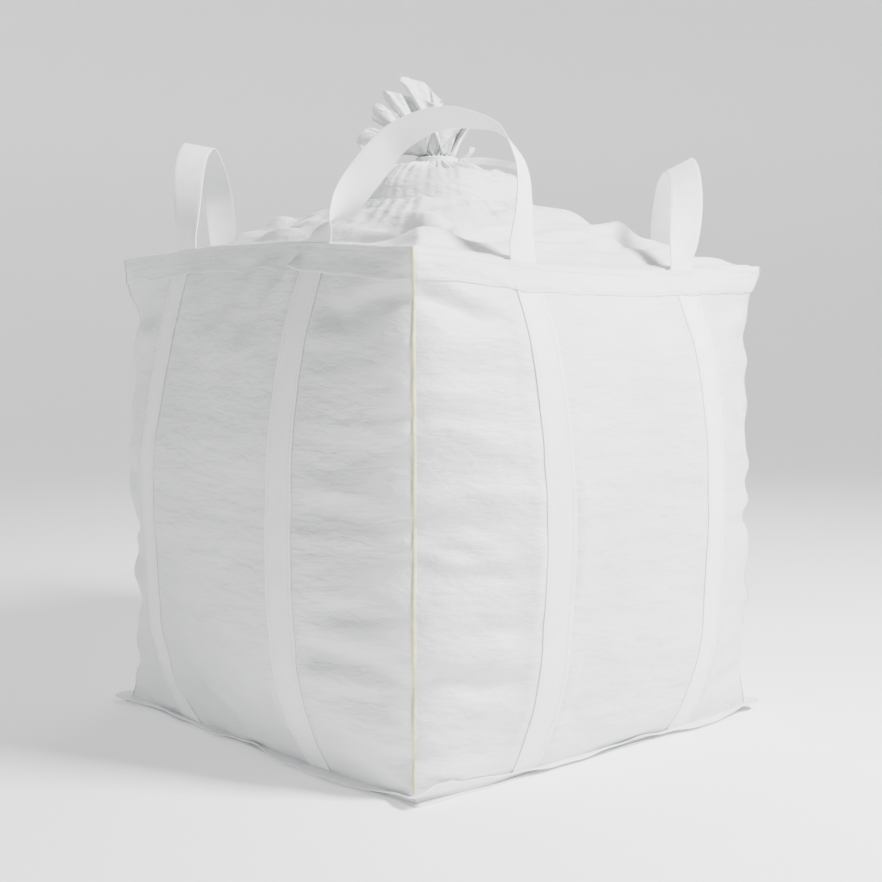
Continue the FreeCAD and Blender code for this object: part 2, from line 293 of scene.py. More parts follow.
# %% The cloth as a function
RIM_PLACES = np.array([0, .10, .19, .30, .50, .70, .90, 1.35, 1.8, 2.25, 2.7, 3.0, 3.2, 3.36, 3.5, 3.6])
RIM_WAVES = np.array([0, -.004, -.014, -.022, -.024, -.020, -.006, .004, .004, -.006, .010, .022,
                      .022, .016, .004, 0])


def cubic_weights(f):
    """Weights of four neighbours for a curve through the middle two (Catmull-Rom)."""
    return [0.5 * (-f + 2 * f ** 2 - f ** 3), 0.5 * (2 - 5 * f ** 2 + 3 * f ** 3),
            0.5 * (f + 4 * f ** 2 - 3 * f ** 3), 0.5 * (f ** 3 - f ** 2)]


def read_grid(grid, s, z):
    """Value of a grid on the cloth at s, z, by cubic curves both ways."""
    col = (s / GIRTH * COLS) % COLS
    row = np.clip(z / HEIGHT, 0, 1) * (ROWS - 1)
    c0, r0 = np.floor(col).astype(int), np.minimum(np.floor(row).astype(int), ROWS - 2)
    wc, wr = cubic_weights(col - c0), cubic_weights(row - r0)
    total = 0
    for i in range(4):
        r = np.clip(r0 + i - 1, 0, ROWS - 1)
        for j in range(4):
            w = wr[i] * wc[j]
            v = grid[r, (c0 + j - 1) % COLS]
            total = total + (w[..., None] * v if v.ndim > w.ndim else w * v)
    return total


# Each fold: start s, z; end s, z; height and width of its ridge, in metres.
FOLDS = [(-.19, .792, .0, .822, -.013, .014), (.0, .822, .19, .790, -.013, .014),
         (-.17, .822, .0, .846, .008, .014), (.0, .846, .17, .826, .008, .014),
         (.01, .410, .17, .416, -.009, .010), (.02, .392, .15, .400, .006, .011),
         (-.20, .236, -.01, .196, -.011, .017), (-.01, .196, .20, .186, -.010, .017),
         (-.21, .205, -.03, .168, .005, .016), (.0, .168, .19, .160, .004, .016),
         (-.275, .875, -.37, .770, .014, .012), (-.30, .875, -.43, .730, -.013, .014), (-.34, .875, -.50, .70, .009, .017), (-.42, .87, -.55, .75, -.007, .014),
         (-.66, .885, -.56, .80, .0055, .014), (-.64, .885, -.50, .77, -.0045, .015),
         (-.40, .868, -.53, .858, -.0030, .012), (-.66, .14, -.56, .028, .0100, .015),
         (-.62, .20, -.45, .035, -.0090, .016), (-.56, .17, -.40, .03, .0070, .016), (-.34, .15, -.28, .03, -.0080, .013),
         (.275, .885, .37, .80, .0040, .015), (.29, .12, .40, .035, -.0045, .015),
         (.62, .885, .52, .80, .0040, .014), (.60, .11, .50, .03, .0045, .014),
         (-.10, .62, .0, .60, .0035, .012), (.03, .585, .15, .60, -.0035, .011),
         (.72, .80, .90, .83, -.006, .014), (.72, .25, .90, .21, -.006, .016),
         (-.90, .82, -.72, .80, -.006, .014), (-.90, .20, -.72, .24, -.006, .016),
         (1.15, .885, 1.28, .79, .005, .014), (1.55, .885, 1.44, .79, .005, .014),
         (1.62, .80, 1.98, .79, -.006, .014), (1.64, .22, 1.96, .20, -.006, .016),
         (2.05, .885, 2.18, .79, .005, .014), (2.45, .885, 2.33, .80, .005, .014)]
face_swell = rough_field(ROWS, COLS, 46, 40, 11)
face_ripple = rough_field(ROWS, COLS, 15, 34, 12)


def folds_at(s, z):
    """Height of the large folds and of the gentle unevenness of the sides, along the normal."""
    near = (s + GIRTH / 2) % GIRTH - GIRTH / 2
    high = np.zeros(np.broadcast(s, z).shape)
    for s0, z0, s1, z1, rise, wide in FOLDS:
        place = near if -1 < s0 < 1 else s % GIRTH
        ds, dz = s1 - s0, z1 - z0
        length = math.hypot(ds, dz)
        along = ((place - s0) * ds + (z - z0) * dz) / length ** 2
        away = ((place - s0) * dz - (z - z0) * ds) / length
        away = away + 0.006 * np.sin(7 * along + s0 * 50)
        taper = smoothstep((along + 0.12) / 0.3) * smoothstep((1.12 - along) / 0.35)
        high = high + rise * taper * np.exp(-0.5 * (away / wide) ** 2)
    side = np.abs((s % SIDE) - SIDE / 2)
    edge = SIDE / 2 - side
    web = smoothstep((0.040 - np.abs(edge - WEB_AT)) / 0.014)
    beside = np.exp(-0.5 * ((np.abs(edge - WEB_AT) - 0.043) / 0.011) ** 2)
    ends = smoothstep(z / 0.06) * smoothstep((HEIGHT - z) / 0.05)
    uneven = 0.0032 * read_grid(face_swell, s, z) + 0.0013 * read_grid(face_ripple, s, z)
    return (high * (1 - 0.75 * web) + uneven * (1 - 0.6 * web) + 0.0028 * beside
            - 0.0010 * web) * ends


solved_normals = grid_normals(body, True)
for _ in range(2):
    solved_normals = unit(blur(blur(solved_normals, 0.7, 1, True), 0.7, 0, False))


def on_cloth(s, z, lift=0.0):
    """A point of the finished cloth at cut place s, z, lifted off it along the normal."""
    s, z = np.broadcast_arrays(np.asarray(s, float), np.asarray(z, float))
    normal = unit(read_grid(solved_normals, s, z))
    point = read_grid(body, s, z) + (folds_at(s, z) + lift)[..., None] * normal
    rim = smoothstep((z / HEIGHT - 0.72) / 0.28)
    wave = np.interp(s % GIRTH, RIM_PLACES, RIM_WAVES)
    point[..., 2] = point[..., 2] + rim * wave
    return point


rim_wave = blur(np.interp(np.arange(720) / 720 * GIRTH, RIM_PLACES, RIM_WAVES), 9, 0, True)
RIM_PLACES, RIM_WAVES = np.append(np.arange(720) / 720 * GIRTH, GIRTH), np.append(rim_wave, rim_wave[0])
print("front corner at mid-height", np.round(on_cloth(0.0, 0.45), 3))

# %% [markdown]
# ## Finishes
# All the cloth is the same family: flat polypropylene tapes, 2.6 mm wide, woven one over one and
# coated with a thin clear film.  The film gives a soft sheen; handling leaves fine creases.  The
# webbing is thicker yarn in lengthwise ribs.  Patterns read the cloth's own UV map, in metres,
# so they bend and crumple with it.

# %% Material helpers


class Nodes:
    """A short way to add shader nodes and link them."""

    def __init__(self, name):
        self.material = bpy.data.materials.new(name)
        self.material.use_nodes = True
        self.tree = self.material.node_tree
        self.shader = self.tree.nodes["Principled BSDF"]

    def add(self, kind, **values):
        node = self.tree.nodes.new(kind)
        for key, value in values.items():
            if hasattr(node, key):
                setattr(node, key, value)
            else:
                node.inputs[key.replace("_", " ")].default_value = value
        return node

    def math(self, operation, a, b=None):
        node = self.add("ShaderNodeMath", operation=operation)
        for socket, value in zip(node.inputs, (a, b)):
            if value is None:
                continue
            if isinstance(value, (int, float)):
                socket.default_value = value
            else:
                self.tree.links.new(value, socket)
        return node.outputs[0]

    def link(self, a, b):
        self.tree.links.new(a, b)

    def noise(self, vector, scale, detail=3.0, rough=0.55):
        node = self.add("ShaderNodeTexNoise", Scale=scale, Detail=detail, Roughness=rough)
        self.link(vector, node.inputs["Vector"])
        return node.outputs["Fac"]

    def ramp(self, value, low, high, a, b):
        node = self.add("ShaderNodeMapRange")
        for name, v in (("From Min", low), ("From Max", high), ("To Min", a), ("To Max", b)):
            node.inputs[name].default_value = v
        self.link(value, node.inputs["Value"])
        return node.outputs["Result"]

    def mix(self, factor, a, b):
        node = self.add("ShaderNodeMix", data_type="RGBA")
        for socket, value in ((node.inputs["Factor"], factor), (node.inputs[6], a), (node.inputs[7], b)):
            if isinstance(value, tuple):
                socket.default_value = value
            elif isinstance(value, (int, float)):
                socket.default_value = value
            else:
                self.link(value, socket)
        return node.outputs[2]

    def bump(self, height, distance, strength=1.0, after=None):
        node = self.add("ShaderNodeBump", Distance=distance, Strength=strength)
        self.link(height, node.inputs["Height"])
        if after is not None:
            self.link(after, node.inputs["Normal"])
        return node.outputs["Normal"]


def tone(grey, tint=0.0):
    """A near-white colour; tint above 0 is cooler, below 0 warmer."""
    return (grey * (1 - tint), grey, grey * (1 + tint), 1.0)


def woven(name, light, dark, tape=0.0026, rough=0.52, crease=0.0009, sheen=0.15, on_uv=True,
          weave=0.00022, tint=0.012):
    """Flat tapes woven one over one: height = sin(pi u / tape) * sin(pi v / tape)."""
    n = Nodes(name)
    place = n.add("ShaderNodeTexCoord")
    cloth = place.outputs["UV"] if on_uv else place.outputs["Object"]
    apart = n.add("ShaderNodeSeparateXYZ")
    n.link(cloth, apart.inputs[0])
    u = n.math("SINE", n.math("MULTIPLY", apart.outputs[0], math.pi / tape))
    v = n.math("SINE", n.math("MULTIPLY", apart.outputs[1], math.pi / tape))
    weave_height = n.math("MULTIPLY", u, v)
    body_place = place.outputs["Object"]
    squat = n.add("ShaderNodeMapping")
    squat.inputs["Scale"].default_value = (1.0, 1.0, 2.6)
    n.link(body_place, squat.inputs["Vector"])
    broad = n.noise(body_place, 3.2, 3.0)
    fine = n.noise(squat.outputs["Vector"], 9.0, 4.0, 0.55)
    tiny = n.noise(body_place, 150.0, 3.0, 0.6)
    shade = n.math("ADD", n.math("MULTIPLY", broad, 0.55), n.math("MULTIPLY", fine, 0.45))
    colour = n.mix(n.ramp(shade, 0.36, 0.64, 0.0, 1.0), tone(dark, tint), tone(light, tint))
    # Painted shade: where the weave height is lowest, in the hollows between the tapes, the colour goes up to 5 %
    # toward a deeper grey.
    colour = n.mix(n.ramp(weave_height, -1.0, 1.0, 0.05, 0.0), colour, tone(dark * 0.86, tint))
    n.link(colour, n.shader.inputs["Base Color"])
    n.link(n.ramp(fine, 0.3, 0.7, rough - 0.07, rough + 0.09), n.shader.inputs["Roughness"])
    normal = n.bump(n.math("ADD", n.math("MULTIPLY", fine, 1.0), n.math("MULTIPLY", tiny, 0.025)), crease * 14)
    normal = n.bump(weave_height, weave, 0.55, normal)
    n.link(normal, n.shader.inputs["Normal"])
    n.shader.inputs["Sheen Weight"].default_value = sheen
    n.shader.inputs["Sheen Roughness"].default_value = 0.45
    n.shader.inputs["IOR"].default_value = 1.49
    return n.material


def webbing(name, light, dark, rib=0.0024, pick=0.0016):
    """Ribs along the webbing with cross picks: |sin(pi u / rib)| plus a share of sin(v)."""
    n = Nodes(name)
    place = n.add("ShaderNodeTexCoord")
    apart = n.add("ShaderNodeSeparateXYZ")
    n.link(place.outputs["UV"], apart.inputs[0])
    ribs = n.math("ABSOLUTE", n.math("SINE", n.math("MULTIPLY", apart.outputs[0], math.pi / rib)))
    picks = n.math("SINE", n.math("MULTIPLY", apart.outputs[1], 2 * math.pi / pick))
    high = n.math("ADD", n.math("MULTIPLY", ribs, 0.8), n.math("MULTIPLY", picks, 0.2))
    wear = n.noise(place.outputs["Object"], 34.0, 4.0, 0.6)
    colour = n.mix(n.ramp(wear, 0.35, 0.68, 0.0, 1.0), tone(dark, 0.008), tone(light, 0.004))
    # Painted shade: in the grooves between the ribs and picks, where their height is low, the colour goes up to 22 %
    # toward a much darker grey.
    colour = n.mix(n.ramp(high, 0.0, 0.9, 0.22, 0.0), colour, tone(dark * 0.72, 0.01))
    n.link(colour, n.shader.inputs["Base Color"])
    n.link(n.ramp(wear, 0.3, 0.7, 0.62, 0.78), n.shader.inputs["Roughness"])
    normal = n.bump(wear, 0.0012, 0.6)
    n.link(n.bump(high, 0.0004, 0.8, normal), n.shader.inputs["Normal"])
    n.shader.inputs["Sheen Weight"].default_value = 0.3
    return n.material


def thread(name, colour, twist=0.0012):
    """Twisted thread or yarn: slanting bands, sin(2 pi (x + y + z) / twist)."""
    n = Nodes(name)
    place = n.add("ShaderNodeTexCoord")
    apart = n.add("ShaderNodeSeparateXYZ")
    n.link(place.outputs["Object"], apart.inputs[0])
    along = n.math("ADD", n.math("ADD", apart.outputs[0], apart.outputs[1]), apart.outputs[2])
    band = n.math("SINE", n.math("MULTIPLY", along, 2 * math.pi / twist))
    fade = n.noise(place.outputs["Object"], 60.0, 3.0)
    darker = tuple(c * 0.8 for c in colour[:3]) + (1.0,)
    n.link(n.mix(n.ramp(fade, 0.35, 0.65, 0.0, 1.0), darker, colour), n.shader.inputs["Base Color"])
    n.link(n.ramp(fade, 0.3, 0.7, 0.5, 0.66), n.shader.inputs["Roughness"])
    n.link(n.bump(band, 0.0002, 0.6), n.shader.inputs["Normal"])
    return n.material


finishes = {
    "body": woven("coated_body_cloth", 0.76, 0.67),
    "hem": woven("folded_hem_cloth", 0.77, 0.69, rough=0.56),
    "top": woven("top_panel_cloth", 0.74, 0.68, crease=0.0011),
    "spout": woven("spout_cloth", 0.74, 0.64, crease=0.0014, rough=0.5),
    "flange": woven("base_seam_cloth", 0.84, 0.78, rough=0.6),
    "inner": woven("plain_inner_cloth", 0.78, 0.72, on_uv=False),
    "webbing": webbing("ribbed_webbing", 0.92, 0.86),
    "tie": webbing("tie_tape_weave", 0.84, 0.76, rib=0.0016, pick=0.0012),
    "stripe": thread("marker_yarn", (0.83, 0.81, 0.44, 1.0), 0.0026),
    "stitch": thread("sewing_thread", (0.83, 0.83, 0.82, 1.0)),
    "granules": woven("packed_granules", 0.62, 0.50, tape=0.004, on_uv=False, crease=0.002),
}


def finish_as(piece, key, slot_name, body_name, *nodes):
    """Gives a piece its finish and the body it moves with, and hides the imported parts it stands for; slot_name is
    not used.
    """
    piece.data.materials.clear()
    piece.data.materials.append(finishes[key])
    if nodes:
        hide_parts(*nodes)
    if body_name:
        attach(piece, body_name)
    return piece


print("finishes", len(finishes))

# %% [markdown]
# ## Body tube and contents
# The tube is sampled finer than the simulation so that the folds stay round.  It gets a wall by
# Solidify, inward, so the sewn-on pieces keep their places.  Under it the contents follow the
# cloth a few millimetres in, closed at the foot and heaped at the top.

# %% Body tube
FINE_COLS, FINE_ROWS = 384, 124
trial_s = np.linspace(0, GIRTH, 3601)
in_corner = smoothstep((0.30 - np.abs((trial_s + SIDE / 2) % SIDE - SIDE / 2)) / 0.03)
crowd = np.append(0, np.cumsum((0.45 + 0.95 * in_corner)[1:]))
fine_s = np.interp(np.arange(FINE_COLS) / FINE_COLS, crowd / crowd[-1], trial_s)
fine_z = np.linspace(0.002, HEIGHT, FINE_ROWS)
tube_points = on_cloth(fine_s[None, :], fine_z[:, None])
tube = surface("body_tube_cloth", tube_points, uv_grid(np.append(fine_s, GIRTH), fine_z), wrap=True)
wall(tube, 0.0008)
finish_as(tube, "body", "body_cloth", "bag", "body_tube")
print("tube", len(tube.data.polygons), "faces")

# %% Marker stripes
CORNERS = ["front", "right", "back", "left"]
for k, corner in enumerate(CORNERS):
    rise = np.linspace(0.004, 0.850, 150)
    across = np.linspace(-0.0035, 0.0035, 3)
    points = on_cloth((k * SIDE + across)[None, :], rise[:, None], 0.0006)
    stripe = surface("marker_stripe_" + corner, points, uv_grid(across, rise))
    wall(stripe, 0.0004, 1)
    finish_as(stripe, "stripe", "marker_yarn", "bag", "corner_stripe_" + corner)

# %% [markdown]
# ## Webbing and loops
# The webbing is one strap 60 mm wide for each corner: up one leg, over as a loop, and down the
# next leg.  It is sewn flat to the cloth up to the rim and stands free above it.  It could be
# three pieces, but one band with its width turned to a chosen direction at each point keeps the
# weave running through.  At the rim it turns from the cloth into the loop, so its width
# direction is blended there.

# %% Lines and bands


def spread(path, count):
    """Evenly spaced points of a smooth cubic through the given points."""
    path = np.asarray(path, float)
    ends = np.concatenate([[2 * path[0] - path[1]], path, [2 * path[-1] - path[-2]]])
    at = np.linspace(0, len(path) - 1, 600)
    k = np.minimum(at.astype(int), len(path) - 2)
    w = cubic_weights(at - k)
    fine = sum(w[i][:, None] * ends[k + i] for i in range(4))
    run = np.append(0, np.cumsum(np.linalg.norm(np.diff(fine, axis=0), axis=1)))
    even = np.linspace(0, run[-1], count)
    return np.stack([np.interp(even, run, fine[:, c]) for c in range(fine.shape[1])], -1)


def run_length(line):
    """Distance walked from the first point of a line to each of its points."""
    return np.append(0, np.cumsum(np.linalg.norm(np.diff(line, axis=0), axis=1)))


def soften(piece, width=0.0007):
    """Rounds the cut edges of a strap or band."""
    edge = piece.modifiers.new("edge", "BEVEL")
    edge.width, edge.segments, edge.limit_method = width, 2, "ANGLE"
    return piece


# %% [markdown]
# Each loop's line is a few places along its arch: along the chord between its feet, outward from
# it, and up.  `roll` turns the width of the strap about its own line: 0 lays it like a belt over
# a hook, and 45 lays it flat on the side face at each foot.  The front loop has a half twist in
# its left leg, as webbing takes when it has been lifted and dropped again.

# %% Loops and legs
LOOP_SHAPES = {
    "front": ([-1.0, -.94, -.81, -.70, -.56, -.43, -.27, -.08, .16, .42, .74, .92, .99, 1.0, .98, 1.0],
              [0, .002, .004, .004, 0, -.004, -.008, -.010, -.010, -.008, 0, .004, .006, .004, .002, 0],
              [0, .028, .056, .085, .122, .153, .186, .210, .229, .233, .222, .184, .148, .094, .040, 0],
              [45, 16, -20, -58, -74, -68, -54, -42, -32, -24, -6, 12, 20, 26, 38, 45]),
    "right": ([-1.0, -1.0, -.94, -.80, -.56, -.26, .06, .36, .64, .84, .95, 1.0, 1.0],
              [0, .004, .010, .014, .016, .016, .014, .012, .010, .008, .004, .002, 0],
              [0, .040, .090, .135, .172, .196, .206, .198, .176, .138, .090, .042, 0],
              [45, 30, 12, -4, -16, -24, -28, -24, -14, 0, 14, 30, 45]),
    "back": ([-1.0, -1.0, -.94, -.79, -.53, -.24, .06, .35, .62, .83, .95, 1.0, 1.0],
             [0, .003, .006, .008, .010, .010, .008, .006, .006, .004, .002, .001, 0],
             [0, .045, .098, .148, .190, .216, .227, .217, .190, .148, .096, .044, 0],
             [45, 32, 18, 8, 2, 6, 12, 16, 14, 16, 24, 34, 45]),
    "left": ([-1.0, -.99, -.92, -.76, -.50, -.22, .05, .32, .58, .80, .93, 1.0, 1.0],
             [0, .002, .005, .006, .008, .008, .008, .006, .006, .004, .002, .001, 0],
             [0, .045, .098, .148, .190, .215, .225, .215, .188, .146, .095, .045, 0],
             [45, 34, 20, 8, -4, -10, -12, -8, 0, 8, 20, 34, 45]),
}
WEB_THICK = 0.0022
LEG_FOOT, LEG_TOP = 0.010, 0.896
across = np.linspace(-0.5, 0.5, 9) * WEB_WIDE
leg_rise = np.linspace(LEG_FOOT, LEG_TOP, 170)
strap_lines = {}


def corner_way(k, way):
    """A direction given for the front corner, turned to corner k."""
    a = k * math.pi / 2
    x, y, z = way
    return np.array([x * math.cos(a) - y * math.sin(a), x * math.sin(a) + y * math.cos(a), z])


def loop_band(k, foot_a, foot_b, shape):
    """Middle line and side direction of a loop: the side is outward turned by roll about the
    line, cos(roll) * side + sin(roll) * (line x side)."""
    along, out, up, roll = [np.array(v, float) for v in shape]
    outward = corner_way(k, (math.sqrt(0.5), -math.sqrt(0.5), 0))
    half_chord = (foot_b - foot_a) / 2
    arch = ((foot_a + foot_b) / 2 + along[:, None] * half_chord + out[:, None] * outward
            + up[:, None] * np.array([0, 0, 1.0]))
    line = spread(arch, 120)
    ahead = unit(np.gradient(line, axis=0))
    side = unit(outward - (ahead @ outward)[:, None] * ahead)
    given = run_length(arch) / run_length(arch)[-1]
    angle = np.radians(blur(np.interp(np.linspace(0, 1, 120), given, roll), 2.5, 0, False))
    return line, (np.cos(angle)[:, None] * side + np.sin(angle)[:, None] * np.cross(ahead, side))


for k, corner in enumerate(CORNERS):
    leg_a = on_cloth((k * SIDE - WEB_AT + across)[None, :], leg_rise[:, None], 0.0004)
    leg_b = on_cloth((k * SIDE + WEB_AT - across)[None, :], leg_rise[::-1, None], 0.0004)
    line, side = loop_band(k, leg_a[-1].mean(0), leg_b[0].mean(0), LOOP_SHAPES[corner])
    # The first few centimetres turn from the way the cloth holds the strap to the loop's own way.
    near_a = smoothstep(1 - np.arange(120) / 12)[:, None]
    near_b = near_a[::-1]
    side = unit(side * (1 - near_a) * (1 - near_b) + near_a * unit(leg_a[-1, -1] - leg_a[-1, 0])
                + near_b * unit(leg_b[0, -1] - leg_b[0, 0]))
    arch_rows = line[:, None] + side[:, None] * across[None, :, None]
    rows = np.concatenate([leg_a, arch_rows[1:-1], leg_b])
    walk = run_length(rows[:, 4])
    strap = surface("webbing_strap_" + corner, rows, uv_grid(across, walk))
    wall(strap, WEB_THICK, 1)
    soften(strap)
    finish_as(strap, "webbing", "webbing", None, "webbing_leg_%s_a" % corner,
              "webbing_leg_%s_b" % corner, "lifting_loop_" + corner)
    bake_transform(strap)
    strap_lines[corner] = (line, side)
    print(corner, "strap %.2f m, loop top %.3f m" % (walk[-1], line[:, 2].max()))

# %% [markdown]
# ## Hem at the rim
# The top edge of the tube and the edge of the top panel are folded together into a band 55 mm
# deep, sewn over the roots of the webbing.  Its lower edge wanders a little, and at the corners,
# where the doubled cloth can't turn tightly, it stands out in small ears.

# %% Rim hem
hem_s = np.arange(720) / 720 * GIRTH
hem_wander = rough_field(4, 720, 8, 60, 21)[0]
hem_small = rough_field(4, 720, 8, 16, 22)[0]
HEM_DEEP = 0.050


def to_corner(s):
    """Distance along the cloth to the nearest corner."""
    return np.abs((s + SIDE / 2) % SIDE - SIDE / 2)


def on_hem(s, down, lift, tuck=0.0):
    """A point of the hem, down from the rim, over the webbing, out in an ear at the corner."""
    over = smoothstep((0.036 - np.abs(to_corner(s) - WEB_AT)) / 0.008)
    wander = np.interp(s % GIRTH, np.append(hem_s, GIRTH), np.append(hem_wander, hem_wander[0]))
    small = np.interp(s % GIRTH, np.append(hem_s, GIRTH), np.append(hem_small, hem_small[0]))
    point = on_cloth(s, 0.9 - down * (1 + 0.035 * wander + 0.018 * small), lift + 0.0026 * over)
    away = unit(on_cloth(s, 0.88)[..., :2])
    out = 0.008 * np.exp(-0.5 * (to_corner(s) / 0.011) ** 2) * np.maximum(0.0, 1 - down / 0.06) - tuck
    point[..., :2] += away * out[..., None]
    return point


hem_rings = [on_hem(hem_s, HEM_DEEP, 0.0002), on_hem(hem_s, HEM_DEEP, 0.0008)]
hem_rings += [on_hem(hem_s, d, 0.0012 + 0.0004 * math.sin(d * 130))
              for d in np.linspace(HEM_DEEP - 0.004, 0.006, 12)]
for angle in np.linspace(0.2, math.pi, 8):
    edge_ring = on_hem(hem_s, 0.004, 0.0016, 0.0017 * (1 - math.cos(angle)))
    edge_ring[:, 2] += 0.0036 * math.sin(angle)
    hem_rings.append(edge_ring)
for drop in (0.004, 0.009, 0.014):
    low = on_hem(hem_s, 0.004, 0.0016, 0.0038)
    low[:, 2] -= drop
    hem_rings.append(low)
hem_points = np.stack(hem_rings)
hem = surface("rim_hem_band", hem_points,
              uv_grid(np.append(hem_s, GIRTH), np.arange(len(hem_points)) * 0.0046), wrap=True)
wall(hem, 0.0005)
finish_as(hem, "hem", "seam_cloth", "bag", "rim_hem")
for k, corner in enumerate(CORNERS):
    across_yarn = k * SIDE + np.linspace(-0.0032, 0.0032, 3)
    downs = np.linspace(HEM_DEEP + 0.002, 0.002, 24)
    points = np.stack([on_hem(across_yarn, d, 0.0025) for d in downs])
    yarn = surface("marker_stripe_hem_" + corner, points, uv_grid(across_yarn, downs))
    wall(yarn, 0.0003, 1)
    finish_as(yarn, "stripe", "marker_yarn", "bag")

# %% [markdown]
# ## Base seam
# At the foot the tube and the base panel are sewn edge to edge into a flat strip that stands out
# all round by about 35 mm.  It is stiff with many layers, ripples between the webbing roots and
# is pulled out into an ear at each corner.

# %% Base seam flange
flange_s = np.arange(720) / 720 * GIRTH
side_no = np.floor(flange_s / SIDE).astype(int)
face_out = np.stack([np.cos(side_no * math.pi / 2), np.sin(side_no * math.pi / 2)], -1)
near_corner = np.abs((flange_s + SIDE / 2) % SIDE - SIDE / 2)
flange_way = unit(blur(face_out, 3, 0, True)) * (1 + 0.40 * np.exp(
    -0.5 * (near_corner / 0.012) ** 2))[:, None]
front_flap = np.exp(-0.5 * ((flange_s - 0.055) / 0.035) ** 2)
flange_wide = (0.013 + 0.018 * front_flap + 0.004 * rough_field(4, 720, 8, 120, 31)[0]
               + 0.0022 * rough_field(4, 720, 8, 30, 32)[0]
               + 0.014 * np.exp(-0.5 * (near_corner / 0.030) ** 2))
flange_lift = (0.0090 + 0.020 * front_flap + 0.0045 * rough_field(4, 720, 8, 90, 33)[0]
               + 0.0020 * rough_field(4, 720, 8, 26, 34)[0]
               + 0.003 * np.exp(-0.5 * (near_corner / 0.04) ** 2))
flange_lift = np.clip(flange_lift, 0.0008, 0.034)
foot = on_cloth(flange_s, 0.010)
root = foot[:, :2] - flange_way * 0.004


def flange_ring(share, high):
    """A ring of the strip at a share of its width, with the strip's own rise and ripple."""
    reach = root + flange_way * ((0.004 + flange_wide) * share)[:, None]
    rise = 0.009 + (flange_lift - 0.004) * share ** 1.3 - 0.004 * share + high
    return np.column_stack([reach, np.maximum(rise, 0.0014 + max(high, 0))])


shares = np.linspace(0, 1, 12)
flange_rings = [flange_ring(x, 0.0012) for x in shares]
flange_rings += [flange_ring(1.03, 0.0), flange_ring(1.0, -0.0013)]
flange_rings += [flange_ring(x, -0.0013) for x in shares[-2::-1]]
flange_points = np.stack(flange_rings)
flange_run = np.concatenate([shares, [1.05, 1.1], 1.1 + (1 - shares[-2::-1])]) * 0.035
flange = surface("base_seam_strip", flange_points,
                 uv_grid(np.append(flange_s, GIRTH), flange_run), wrap=True, flip=True)
wall(flange, 0.0003)
finish_as(flange, "flange", "seam_cloth", "bag", "base_seam_flange")
panel_share = np.append(0.002, np.linspace(0.1, 1, 14))[:, None, None]
panel_ring = np.column_stack([flange_ring(0.55, 0.0)[:, :2], np.full(len(flange_s), 0.0012)])
panel_points = panel_ring[None] * np.array([1, 1, 0]) * panel_share + panel_ring[None] * np.array([0, 0, 1])
panel = surface("base_panel_cloth", panel_points,
                uv_grid(np.append(flange_s, GIRTH), panel_share.ravel() * 0.45), wrap=True, flip=True)
wall(panel, 0.0008, -1)
finish_as(panel, "inner", "body_cloth", "bag", "base_panel")
print("hem and base seam", hem_points.shape, flange_points.shape)

# %% [markdown]
# ## Stitching
# Every sewn edge shows a row of short thread stitches; rows are made here along the webbing
# edges and the hem.  One stitch is a small spindle with six points.  A row is a run of places on
# the cloth, and all its stitches are one mesh.

# %% Stitches


def stitch_row(name, points, normals, long=0.0056, thick=0.00055, body_name="bag"):
    """Spindles along a line: each has two ends, and four points round its middle."""
    ahead = unit(np.gradient(points, axis=0))
    side = np.cross(normals, ahead)
    middle = points + normals * thick * 0.5
    six = np.stack([middle - ahead * long / 2, middle + ahead * long / 2, middle + side * thick,
                    middle + normals * thick, middle - side * thick, middle - normals * thick], 1)
    faces = np.array([[0, 3, 2], [0, 4, 3], [0, 5, 4], [0, 2, 5], [1, 2, 3], [1, 3, 4], [1, 4, 5],
                      [1, 5, 2]])
    every = (np.arange(len(points)) * 6)[:, None, None] + faces[None]
    row = mesh_object(name, six.reshape(-1, 3), every.reshape(-1, 3))
    return finish_as(row, "stitch", "seam_cloth", body_name)


def outward_normals(s, z):
    return unit(read_grid(solved_normals, s, z))


sewn = {}
for k, corner in enumerate(CORNERS):
    rows_p, rows_n = [], []
    for foot in (-1, 1):
        for edge in (-0.0225, 0.0225):
            z = np.arange(0.03, 0.842, 0.0085)
            s = np.full(len(z), k * SIDE + foot * WEB_AT + edge)
            rows_p.append(on_cloth(s, z, 0.0004 + WEB_THICK))
            rows_n.append(outward_normals(s, z))
    for i, (p, nrm) in enumerate(zip(rows_p, rows_n)):
        stitch_row("webbing_stitches_%s_%d" % (corner, i), p, nrm)
hem_at = np.arange(0, GIRTH, 0.0085)
for i, down in enumerate((0.010, 0.044)):
    stitch_row("hem_stitches_%d" % i, on_hem(hem_at, down, 0.0020 if i else 0.0018),
               outward_normals(hem_at, np.full(len(hem_at), 0.9 - down)))
print("stitches", 8 * 2 * 96 + 2 * len(hem_at))

# %% [markdown]
# ## Top panel
# The top is one square of cloth, sewn in at the rim and drawn up to the round spout, so it makes
# a low pyramid.  Its rings change from the square rim to the circle, and cloth that is too wide
# for the circle lies in pleats that grow toward it.  Ridges run from the corners.

# %% Top panel
SPOUT_RADIUS, SPOUT_Z = 0.185, 1.008
TOP_COLS = 480
top_s = np.arange(TOP_COLS) / TOP_COLS * GIRTH
rim_line = on_cloth(top_s, 0.9 - 0.006)
rim_in = unit(-rim_line[:, :2])
top_rim = rim_line[:, :2] + rim_in * 0.006
top_angle = (top_s / GIRTH) * 2 * math.pi - math.pi / 4
spout_way = np.stack([np.cos(top_angle), np.sin(top_angle)], -1)
pleat_wave = rough_field(4, TOP_COLS, 8, 13, 41)[0]
pleat_fine = rough_field(4, TOP_COLS, 8, 7, 42)[0]
top_fold = rough_field(64, TOP_COLS, 15, 44, 43)
top_share = np.linspace(0, 1, 64)
RISE_AT = [0, .16, .40, .55, .675, .85, 1]
RISE = [.003, .005, .029, .055, .073, .098, .1215]
diagonal = np.exp(-0.5 * (to_corner(top_s) / 0.05) ** 2)
